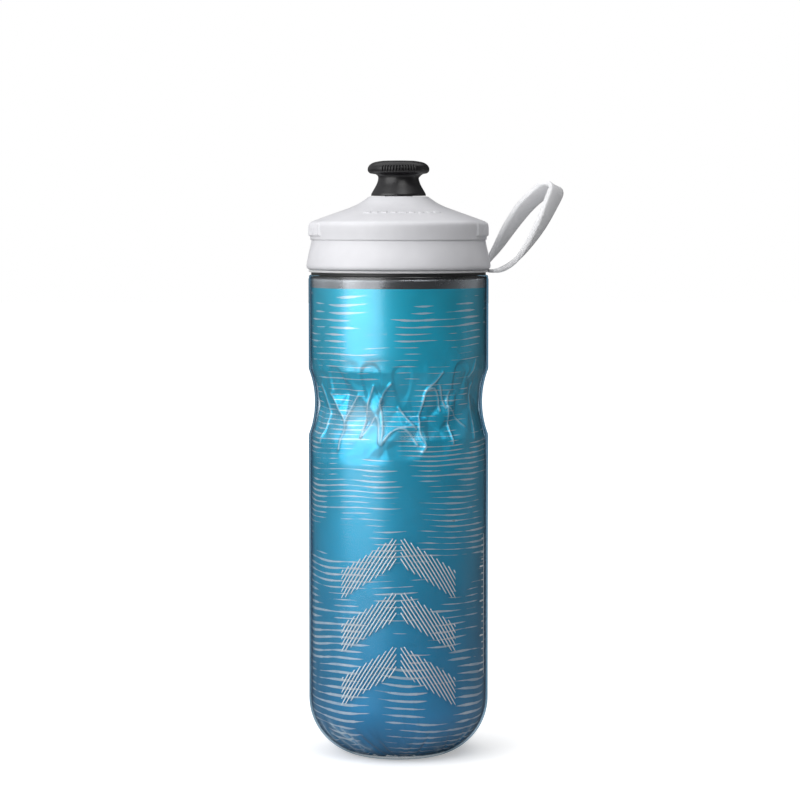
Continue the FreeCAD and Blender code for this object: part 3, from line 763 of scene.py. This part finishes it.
def shell():
    """The clear shell: outside from the foot up to the rim, then down the inside."""
    inner_r = BODY_R - SHELL_WALL
    inner_top = SHELL_TOP - SHELL_WALL
    centre = (BODY_R - HEEL_R, WALL_FOOT)
    foot_angle = math.asin(WALL_FOOT / HEEL_R)
    waist_r, waist_arc = waist_circle(BODY_R, GRIP_DEPTH)
    inner_waist_r, inner_arc = waist_circle(inner_r, GRIP_DEPTH)
    half = math.degrees(math.asin(GRIP_HALF / waist_arc)) - 1.5
    o = Outline(0, FOOT_HOLLOW)
    o.curve((6, FOOT_HOLLOW - 0.25), (11.5, 0.25), (12.5, 0))
    o.line(centre[0] + HEEL_R * math.cos(foot_angle), 0)
    o.arc(centre, HEEL_R, -math.degrees(foot_angle), 0)
    o.line(BODY_R, GRIP_LOW, 1.2)
    o.arc((waist_r, GRIP_MIDDLE), waist_arc, 180 + half, 180 - half)
    o.line(BODY_R, GRIP_TOP, 1.2)
    o.line(BODY_R, NECK_STEP_Z, 0.15)
    o.line(RIM_R, NECK_STEP_Z + 0.2, 0.15)
    o.line(RIM_R, SHELL_TOP, 1.0)
    o.line(VESSEL_R + 0.1, SHELL_TOP, 0.2)
    o.line(VESSEL_R + 0.1, inner_top, 0.2)
    o.line(inner_r, inner_top, 0.4)
    o.line(inner_r, GRIP_TOP + 0.3, 1.0)
    o.arc((inner_waist_r, GRIP_MIDDLE), inner_arc, 180 - half, 180 + half)
    o.line(inner_r, GRIP_LOW - 0.3, 1.0)
    o.line(inner_r, WALL_FOOT)
    o.arc(centre, HEEL_R - SHELL_WALL, 0, -68)
    o.curve((14, 1.9), (6, 2.3), (0, FOOT_HOLLOW + SHELL_WALL))
    verts, faces = lathe(o.done(longest=2.5), 288)
    ob = facing_out(build("clear_shell", verts, faces, shell_material()))
    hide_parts("outer_shell")
    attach(ob, "bottle")


def on_wall(u, z, lift):
    """A point on the shell's straight wall, u millimetres round from the front."""
    turn = math.radians(FRONT) + u / BODY_R
    r = BODY_R + lift
    return (r * math.cos(turn), r * math.sin(turn), z)


PRINT_LOW, PRINT_HIGH = 0.005, 0.045       # how far the print's two sides stand off the wall


def stroke(u0, z0, u1, z1, width):
    """A printed stroke on the wall, as rings of four points."""
    length = math.hypot(u1 - u0, z1 - z0)
    nu, nz = -(z1 - z0) / length * width / 2, (u1 - u0) / length * width / 2
    steps = max(2, int(length / 0.9))
    rings = []
    for i in range(steps + 1):
        t = i / steps
        taper = 0.72 + 0.28 * min(1.0, 5 * t, 5 * (1 - t))
        u, z = u0 + (u1 - u0) * t, z0 + (z1 - z0) * t
        a, b = nu * taper, nz * taper
        rings.append([on_wall(u - a, z - b, PRINT_LOW), on_wall(u + a, z + b, PRINT_LOW),
                      on_wall(u + a, z + b, PRINT_HIGH), on_wall(u - a, z - b, PRINT_HIGH)])
    return rings


def print_on_shell(name, cells):
    """Builds printed strokes as one piece on the bottle."""
    verts, faces = blocks(cells)
    ob = facing_out(build(name, verts, faces, PRINT_WHITE))
    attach(ob, "bottle")


def chevron_print():
    """Plain printed device: three stacked chevrons, drawn in diagonal hatching."""
    cells = []
    reach, tall = 24.5, 11.5            # half the width, and the height of an arm
    climb, fall = 1.55, 0.62            # slopes of the hatching and of the arms
    step = 1.75 * 1.42                  # from one hatching line to the next, measured upright
    for apex in (93.0, 71.5, 50.0):
        for side in (-1, 1):
            foot = apex - 70.0
            while foot < apex + 90.0:
                low = max((apex - tall - foot) / (climb - fall), -reach)
                high = min((apex - foot) / (climb - fall), -0.9)
                if high - low > 0.8:
                    ends = side * low, climb * low + foot, side * high, climb * high + foot
                    cells.append(stroke(*ends, 0.46))
                foot += step
    print_on_shell("chevron_print", cells)


def scale_print():
    """Plain filling scale at the side: a line with long and short ticks."""
    foot = math.radians(70) * BODY_R
    cells = [stroke(foot, 34.0, foot, 91.0, 0.5)]
    for i in range(20):
        z = 36.0 + i * 2.8
        reach, width = (2.4, 0.5) if i % 5 else (4.2, 0.7)
        cells.append(stroke(foot - reach, z, foot - 0.4, z, width))
    print_on_shell("scale_print", cells)


# ---- strap ---------------------------------------------------

STRAP_SEEN_W = 8.4
STRAP_T, STRAP_ROOT_T = 2.3, 1.2     # thickness of the band, and at its roots
STRAP_AZIMUTH = 18.0       # the side that the loop is on, in degrees from +X
STRAP_HINGE_U = 37.0       # how far out it bends
STRAP_LEG_V = 14.0         # half the way from root to root
OUTWARD = Vector((math.cos(math.radians(STRAP_AZIMUTH)), math.sin(math.radians(STRAP_AZIMUTH)), 0))
ALONG = Vector((-OUTWARD.y, OUTWARD.x, 0))
TIP_WIDTH_WAY = Vector((0.70, 0.62, -0.36))
# Middle of the band between its roots.
STRAP_ROUTE = [
    (42.4, -1.6, 197.5), (46.6, -1.6, 200.2), (50.5, -1.4, 204.5), (53.7, -1.0, 209.0), (56.4, -0.4, 213.3),
    (59.0, 0.5, 218.1), (61.4, 1.8, 223.2), (63.3, 3.1, 227.3), (63.8, 3.9, 229.6), (62.5, 4.8, 230.8),
    (58.3, 7.8, 228.9), (53.4, 11.7, 224.4), (48.4, 15.6, 218.1), (44.4, 18.7, 211.8), (40.6, 21.6, 205.3),
    (37.4, 23.7, 200.6), (34.4, 25.2, 197.5),
]


def strap_ring():
    """The flat ring between the bottle's flange and the cap."""
    low, high, inner, outer = 196.12, 197.1, 32.45, 36.4
    o = Outline()
    o.line(inner, low, 0.15).line(outer, low, 0.4).line(outer, high, 0.4).line(inner, high, 0.15)
    verts, faces = lathe(o.done(), 288)
    ob = facing_out(build("strap_collar", verts, faces, STRAP_RUBBER))
    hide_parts("strap_ring")
    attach(ob, "strap_base")


def strap_loop():
    """The carry loop: a rounded band on a smooth route, whose roots run in under the cap."""
    roots = [OUTWARD * STRAP_HINGE_U + ALONG * (side * STRAP_LEG_V) + Vector((0, 0, STRAP_HINGE_Z))
             for side in (-1, 1)]
    inner = [root - OUTWARD * 2.6 for root in roots]
    route = [tuple(inner[0]), tuple(roots[0])] + STRAP_ROUTE + [tuple(roots[1]), tuple(inner[1])]
    line = smooth(route, 0.7, start=tuple(OUTWARD), end=tuple(-OUTWARD))
    lengths = np.concatenate([[0], np.cumsum(np.linalg.norm(np.diff(line, axis=0), axis=1))])
    verts, rings = [], []
    corner, per = 0.62, 4
    for i, p in enumerate(line):
        share = lengths[i] / lengths[-1]
        to_root = abs(2 * share - 1)
        turned = 1 - to_root ** (1.1 if share < 0.5 else 1.5)
        way = ALONG * (1 - turned) + TIP_WIDTH_WAY * turned
        t = Vector(line[min(i + 1, len(line) - 1)] - line[max(i - 1, 0)]).normalized()
        across = (way - t * way.dot(t)).normalized()
        through = t.cross(across).normalized()
        thick = STRAP_T - (STRAP_T - STRAP_ROOT_T) * to_root**6
        ring = []
        for cx, cy, start in ((1, 1, 0), (-1, 1, 90), (-1, -1, 180), (1, -1, 270)):
            round_r = min(corner, thick * 0.42)
            for j in range(per + 1):
                a = math.radians(start + 90 * j / per)
                w = cx * (STRAP_SEEN_W / 2 - round_r) + round_r * math.cos(a)
                h = cy * (thick / 2 - round_r) + round_r * math.sin(a)
                ring.append(tuple(Vector(p) + across * w + through * h))
        rings.append(ring)
    verts, faces = blocks([rings])
    ob = facing_out(build("strap_band", verts, faces, STRAP_RUBBER))
    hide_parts("strap_loop")
    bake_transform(ob)


# ---- cap -----------------------------------------------------

CAP_BOTTOM = 197.3
CAP_TOP = 226.6
CAP_BORE_R = 34.1
RIB_LOW, RIB_HIGH, RIB_R = 210.9, 215.8, 36.55
RIB_PITCH, RIB_HALF, PAD_HALF = 4.0, 1.02, 30.0         # degrees round the cap
CONE_TOP = (12.6, 226.1)
CONE = [(16.1, 223.8), (22.0, 221.3), (29.0, 218.8), (35.0, 216.6)]
CAP_CONE = smooth([CONE_TOP] + CONE, 0.2)


def cap_push(turns, r, z):
    """Grip ribs on both sides of the cap: raised bars over a slightly raised pad."""
    if r < 35.0 or not RIB_LOW - 0.4 < z < RIB_HIGH + 0.5:
        return np.zeros_like(turns)
    off = np.minimum(np.abs((turns + 180) % 360 - 180), np.abs(turns % 360 - 180))
    band = np.clip((z - RIB_LOW + 0.3) / 0.3, 0, 1) * np.clip((RIB_HIGH + 0.4 - z) / 2.0, 0, 1) ** 0.5
    in_pad = np.clip((PAD_HALF - off) / 0.8, 0, 1)
    phase = np.abs((off + RIB_PITCH / 2) % RIB_PITCH - RIB_PITCH / 2)
    bar = np.clip((RIB_HALF + 0.25 - phase) / 0.5, 0, 1)
    return np.clip(RIB_R - r, 0, 2) * band * in_pad * (0.25 + 0.75 * bar)


def cap():
    """The screw cap: over its top, down the outside, then up the bore and back under the top."""
    bore_top, stem_r = 213.5, 5.7
    o = Outline(step=0.8)
    o.line(stem_r, CAP_TOP, 0.2).line(11.9, CAP_TOP, 0.25).line(*CONE_TOP, 0.2)
    o.curve(*CONE)
    o.step = 0.3
    o.curve((35.6, 216.1), (36.0, 214.9))
    o.line(35.9, 212.6)
    o.curve((35.75, 210.5), (35.7, 209.25))
    o.line(35.27, 209.05, 0.08)
    o.line(35.3, 208.8, 0.05)
    o.step = 0.5
    o.curve((35.65, 206.8), (36.28, 204.1), (36.9, 201.3), (37.25, 199.2))
    o.curve((37.3, 198.5), (37.05, 197.7), (36.5, CAP_BOTTOM))
    o.line(CAP_BORE_R + 0.5, CAP_BOTTOM, 0.1)
    o.line(CAP_BORE_R, CAP_BOTTOM + 0.5, 0.1)
    o.line(CAP_BORE_R, bore_top, 0.2).line(30.2, bore_top, 0.3).line(30.2, 215.7)
    o.step = 1.5
    o.curve((27.0, 217.5), (21.0, 219.6), (15.0, 221.9))
    o.line(9.2, 222.4, 0.2).line(9.2, 223.7, 0.2).line(7.8, 223.7, 0.1).line(7.8, 224.9, 0.1)
    o.line(stem_r, 224.9, 0.1)
    verts, faces = lathe(o.done(longest=1.6), 720, cap_push)
    thread_verts, thread_faces = blocks([cap_thread()])
    faces += [tuple(k + len(verts) for k in face) for face in thread_faces]
    ob = facing_out(build("screw_cap", verts + thread_verts, faces, WHITE_PLASTIC))
    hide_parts("cap_shell")
    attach(ob, "cap")


def cap_dashes():
    """A row of plain raised dashes on the front of the cap's cone, the ends and the middle one longer."""
    cells = [cone_mark(-86.0 + i * 8.4, 25.2, 2.4 if i % 4 else 3.4, 1.7) for i in range(-4, 5)]
    verts, faces = blocks(cells)
    ob = facing_out(build("cap_raised_dashes", verts, faces, WHITE_PLASTIC))
    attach(ob, "cap")


def cone_mark(turn, r, wide, deep):
    """A small rounded dash standing on the cap's cone."""
    rings = []
    for i in range(13):
        t = i / 12
        swell = math.sqrt(max(0.0, 1 - (2 * t - 1) ** 6)) * 0.9 + 0.1
        a = math.radians(turn) + (t - 0.5) * wide / r
        ring = []
        for dr, lift in ((-1, -0.15), (1, -0.15), (0.85, 0.22), (0.5, 0.36), (-0.5, 0.36), (-0.85, 0.22)):
            rr = r + dr * deep / 2 * swell
            z = np.interp(rr, CAP_CONE[:, 0], CAP_CONE[:, 1]) + (lift if lift < 0 else lift * swell)
            ring.append((rr * math.cos(a), rr * math.sin(a), z))
        rings.append(ring)
    return rings


def cap_thread():
    """The cap's inside thread as one closed ridge."""
    rings = []
    start, lead, turns, steps = 199.0, 6.0, 1.25, 150
    for i in range(steps + 1):
        t = i / steps
        a = math.radians(60.0) + t * turns * 2 * math.pi
        z = start + lead * turns * t
        grow = min(1.0, 12 * t, 12 * (1 - t))
        root_r, crest_r = CAP_BORE_R + 0.3, CAP_BORE_R - 0.05 - 1.55 * grow
        corners = ((root_r, -1.2), (crest_r, -0.6), (crest_r, 0.6), (root_r, 1.2))
        rings.append([(r * math.cos(a), r * math.sin(a), z + dz) for r, dz in corners])
    return rings


# ---- mouthpiece ----------------------------------------------

GROOVE_PITCH, GROOVES = 5.6, 12      # in degrees, and how many at the front and at the back


def grip_push(turns, r, z):
    """Fine grooves over the front and back of the bite rim, and a small web under its right side."""
    push = np.zeros_like(turns)
    if r > 11.5 and 236.4 < z < 239.4:
        band = np.clip((z - 236.5) / 0.35, 0, 1) * np.clip((239.1 - z) / 0.35, 0, 1)
        off = np.minimum(np.abs((turns - 90 + 180) % 360 - 180), np.abs((turns + 90 + 180) % 360 - 180))
        within = np.clip((GROOVES * GROOVE_PITCH / 2 - off) / 1.0, 0, 1)
        phase = np.abs(off % GROOVE_PITCH - GROOVE_PITCH / 2)
        push -= 0.75 * band * within * np.clip((1.75 - phase) / 0.8, 0, 1)
    if 8.0 < r < 9.5 and 232.5 < z < 235.8:
        off = np.abs((turns + 180) % 360 - 180)
        push += 0.5 * np.clip(1 - off / 26, 0, 1) * np.clip((z - 234.1) / 0.7, 0, 1)
    return push


def mouthpiece():
    """The soft grip: its bite rim and flared neck, then back up the inside where the stiff core sits."""
    outlet_r, core_r, skirt_foot = 4.6, 7.4, 226.9
    o = Outline(step=0.3)
    o.line(outlet_r, 240.0, 0.05).line(outlet_r, 240.4)
    o.curve((5.2, 240.9), (6.4, 241.0), (8.8, 240.65), (10.4, 240.2), (11.4, 239.6), (12.15, 238.75),
            (12.5, 237.7), (12.3, 236.7), (11.4, 235.9))
    o.line(9.3, 235.6, 0.35)
    o.curve((8.35, 234.8), (8.35, 233.1), (8.9, 231.5), (10.0, 229.5), (11.05, 227.6))
    o.line(11.1, skirt_foot, 0.15).line(10.2, skirt_foot, 0.1)
    o.line(7.9, 231.1, 0.1).line(core_r, 231.1, 0.05).line(core_r, 236.2, 0.05).line(9.8, 236.2, 0.1)
    o.line(9.8, 238.2, 0.1).line(outlet_r, 238.2, 0.05)
    verts, faces = lathe(o.done(longest=1.0), 720, grip_push)
    ob = facing_out(build("bite_grip", verts, faces, BLACK_RUBBER))
    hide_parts("mouthpiece_grip")
    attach(ob, "mouthpiece")


# ---- put together --------------------------------------------

sleeve = foil(random.Random(7))
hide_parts("foil_sleeve")
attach(sleeve, "bottle")
shell()
chevron_print()
scale_print()
strap_ring()
strap_loop()
cap()
cap_dashes()
mouthpiece()

for node, material in (("inner_bottle", NATURAL_PLASTIC), ("cap_gasket", GREY_RUBBER),
                       ("valve_stem", STEM_PLASTIC), ("stem_seal", GREY_RUBBER),
                       ("mouthpiece_seal", GREY_RUBBER), ("mouthpiece_core", BLACK_PLASTIC)):
    for place in frame["nodes"][node].material_slots:
        place.material = material

# ---- stage ---------------------------------------------------

FLOOR_GLOW = 0.58          # light that the floor gives off near the bottle, as the camera sees it
FLOOR_PAINTED_SHADOW = 0.70       # share of that glow left right under the bottle: a painted soft shadow
FLOOR_BOUNCE = 0.42        # how pale the floor is to everything but the camera, near the bottle
FAR_BOUNCE = 0.29          # and further out
FLOOR_HALF = 6.0


def floor():
    """A pale floor with a painted soft shadow at the bottle's foot, fading to plain white, darker in
    reflections than to the camera.
    """
    s = Shade("pale_floor")
    speck = s.noise(s.place(), 40.0, 3.0, 0.6)
    base = s.mix(s.span(speck, 0.3, 0.7, 0.0, 1.0), rgb(0.84, 0.84, 0.845), rgb(0.86, 0.86, 0.862))
    away = s.node("VectorMath", {"operation": "LENGTH"}, i0=s.place()).outputs["Value"]
    # Painted shadow: the floor's glow is dimmed in a soft ring round the bottle's foot.
    painted_contact_shadow = s.span(away, 0.022, 0.068, FLOOR_PAINTED_SHADOW, 1.0, "SMOOTHSTEP")
    glow = s.math("MULTIPLY", s.span(away, 0.15, 0.8, FLOOR_GLOW, 1.0), painted_contact_shadow)
    seen = s.node("BsdfPrincipled", Base_Color=base, Roughness=0.8, Emission_Color=rgb(1, 1, 1),
                  Emission_Strength=glow)
    bounce = s.node("BsdfDiffuse", Color=s.span(away, 0.06, 0.22, FLOOR_BOUNCE, FAR_BOUNCE))
    to_camera = s.node("LightPath").outputs["Is Camera Ray"]
    s.finish(s.node("MixShader", i0=to_camera, i1=bounce.outputs[0], i2=seen.outputs[0]))
    mesh = bpy.data.meshes.new("floor")
    corners = [(x * FLOOR_HALF, y * FLOOR_HALF, 0) for x, y in ((-1, -1), (1, -1), (1, 1), (-1, 1))]
    mesh.from_pydata(corners, [], [(0, 1, 2, 3)])
    mesh.materials.append(s.material)
    ob = stand("floor", mesh)


def area_light(name, place, target, width, height, power):
    """A soft panel of light that the camera doesn't see."""
    light = bpy.data.lights.new(name, "AREA")
    light.shape = "RECTANGLE"
    light.size, light.size_y = width, height
    light.energy = power
    ob = stand(name, light)
    ob.location = place
    ob.rotation_euler = (Vector(target) - Vector(place)).to_track_quat("-Z", "Y").to_euler()
    ob.visible_camera = False


def world():
    """White to the camera; otherwise a soft room that is brightest to the left and in front."""
    made = bpy.data.worlds.new("studio")
    bpy.context.scene.world = made
    s = Nodes(made, "OutputWorld")
    way = s.node("SeparateXYZ", Vector=s.node("TexCoord").outputs["Generated"])
    side = s.span(way.outputs["X"], -0.9, 0.1, 0.8, 0.12)
    depth = s.span(way.outputs["Y"], -0.2, 0.9, 1.0, 0.5)
    room = s.node("Background", Color=rgb(0.98, 0.99, 1.0), Strength=s.math("MULTIPLY", side, depth))
    white = s.node("Background", Color=rgb(1, 1, 1))
    to_camera = s.node("LightPath").outputs["Is Camera Ray"]
    s.finish(s.node("MixShader", i0=to_camera, i1=room.outputs[0], i2=white.outputs[0]))


CAMERA_AT = (0.0006, -1.1, 0.217)
LOOKING_DOWN = 3.792       # degrees
LENS, SENSOR = 121.98, 36.0


def camera():
    """A long lens, placed by fitting the outline in the photo."""
    data = bpy.data.cameras.new("camera")
    data.lens = LENS
    data.sensor_width = SENSOR
    ob = stand("camera", data)
    ob.location = CAMERA_AT
    ob.rotation_euler = (math.radians(90 - LOOKING_DOWN), 0, 0)
    bpy.context.scene.camera = ob


floor()
world()
area_light("key", (-0.66, -0.62, 0.46), (0, 0, 0.16), 1.0, 0.9, 6.75)
area_light("overhead", (0.0, 0.1, 1.5), (0, 0, 0), 2.4, 2.4, 13.5)
area_light("fill", (0.4, -0.95, 1.25), (0, 0, 0.14), 0.8, 0.8, 5.0)
area_light("side", (0.85, 0.22, 0.30), (0, 0, 0.15), 0.6, 0.7, 0.2)
camera()
bpy.context.scene.view_settings.view_transform = "Standard"
